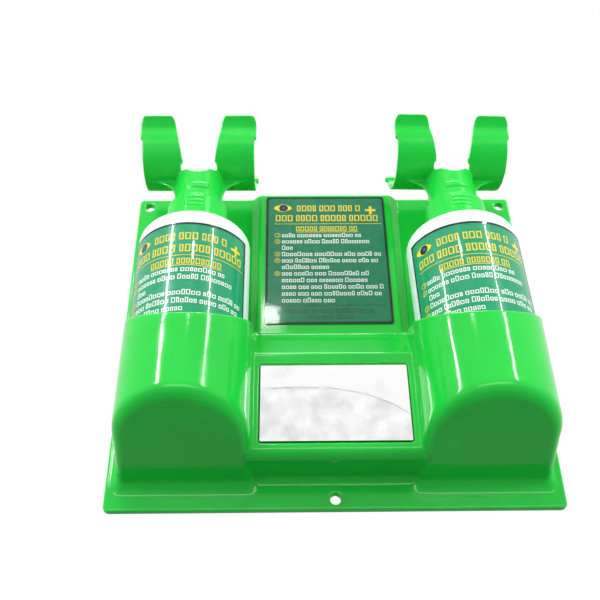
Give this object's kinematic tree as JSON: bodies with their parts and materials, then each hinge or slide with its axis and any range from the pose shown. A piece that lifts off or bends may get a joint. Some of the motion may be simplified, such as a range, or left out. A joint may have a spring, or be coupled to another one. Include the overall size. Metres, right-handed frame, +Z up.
{
  "type": "eyewash station",
  "caption": "Wall-mounted eyewash station: a moulded green panel holds eyewash bottles with eyecup heads beside an instruction label and a small mirror.",
  "frame": {"origin": "centre of the panel's 286 x 250 mm outline, on the wall plane that the back of the flange rests on", "axes": "+Z up, -Y out of the wall towards the user, +X to the user's right"},
  "size_m": [0.286, 0.0916, 0.2662],
  "materials": {
    "green_panel": "glossy vacuum-formed or moulded sheet",
    "green_head": "satin-gloss injection moulding",
    "bottle_plastic": "natural squeezable polyethylene, slightly translucent",
    "printed_label": "printed vinyl film",
    "mirror_sheet": "mirror",
    "mounting_tape": "matt foam tape",
    "seal_rubber": "matt elastomer",
    "nozzle_plastic": "moulded"
  },
  "bodies": {
    "panel": {"wall_panel": "green_panel", "instruction_label": "printed_label", "mirror_glass": "mirror_sheet", "mirror_tape_upper": "mounting_tape", "mirror_tape_lower": "mounting_tape"},
    "left_bottle_body": {"left_bottle": "bottle_plastic", "left_bottle_label": "printed_label"},
    "left_head": {"left_eyecup_head": "green_head", "left_jet_nozzle": "nozzle_plastic", "left_neck_gasket": "seal_rubber"},
    "left_collar": {"left_screw_collar": "green_head"},
    "left_cap": {"left_top_cap": "green_head", "left_top_cap_seal": "seal_rubber"},
    "right_bottle_body": {"right_bottle": "bottle_plastic", "right_bottle_label": "printed_label"},
    "right_head": {"right_eyecup_head": "green_head", "right_jet_nozzle": "nozzle_plastic", "right_neck_gasket": "seal_rubber"},
    "right_collar": {"right_screw_collar": "green_head"},
    "right_cap": {"right_top_cap": "green_head", "right_top_cap_seal": "seal_rubber"}
  },
  "joints": [
    {"name": "left_bottle_lift", "type": "slide", "parent": "panel", "child": "left_bottle_body", "axis": [0, 0, 1], "range_m": [0, 0.13]},
    {"name": "left_head_rise", "type": "slide", "parent": "left_bottle_body", "child": "left_head", "axis": [0, 0, 1], "range_m": [0, 0.0054]},
    {"name": "left_collar_turn", "type": "hinge", "parent": "left_head", "child": "left_collar", "pos_m": [-0.092, -0.048, 0.071], "axis": [0, 0, 1], "range_deg": [0, 450]},
    {"name": "left_cap_pull", "type": "slide", "parent": "left_head", "child": "left_cap", "axis": [0, 0, 1], "range_m": [0, 0.03]},
    {"name": "right_bottle_lift", "type": "slide", "parent": "panel", "child": "right_bottle_body", "axis": [-0.0218, 0, 0.9998], "range_m": [0, 0.13]},
    {"name": "right_head_rise", "type": "slide", "parent": "right_bottle_body", "child": "right_head", "axis": [-0.0218, 0, 0.9998], "range_m": [0, 0.0054]},
    {"name": "right_collar_turn", "type": "hinge", "parent": "right_head", "child": "right_collar", "pos_m": [0.08933, -0.048, 0.07096], "axis": [-0.0218, 0, 0.9998], "range_deg": [0, 450]},
    {"name": "right_cap_pull", "type": "slide", "parent": "right_head", "child": "right_cap", "axis": [-0.0218, 0, 0.9998], "range_m": [0, 0.03]}
  ],
  "couplings": [
    {"joint": "left_head_rise", "follows": "left_collar_turn", "m_per_rad": 0.000673},
    {"joint": "right_head_rise", "follows": "right_collar_turn", "m_per_rad": 0.000673}
  ]
}
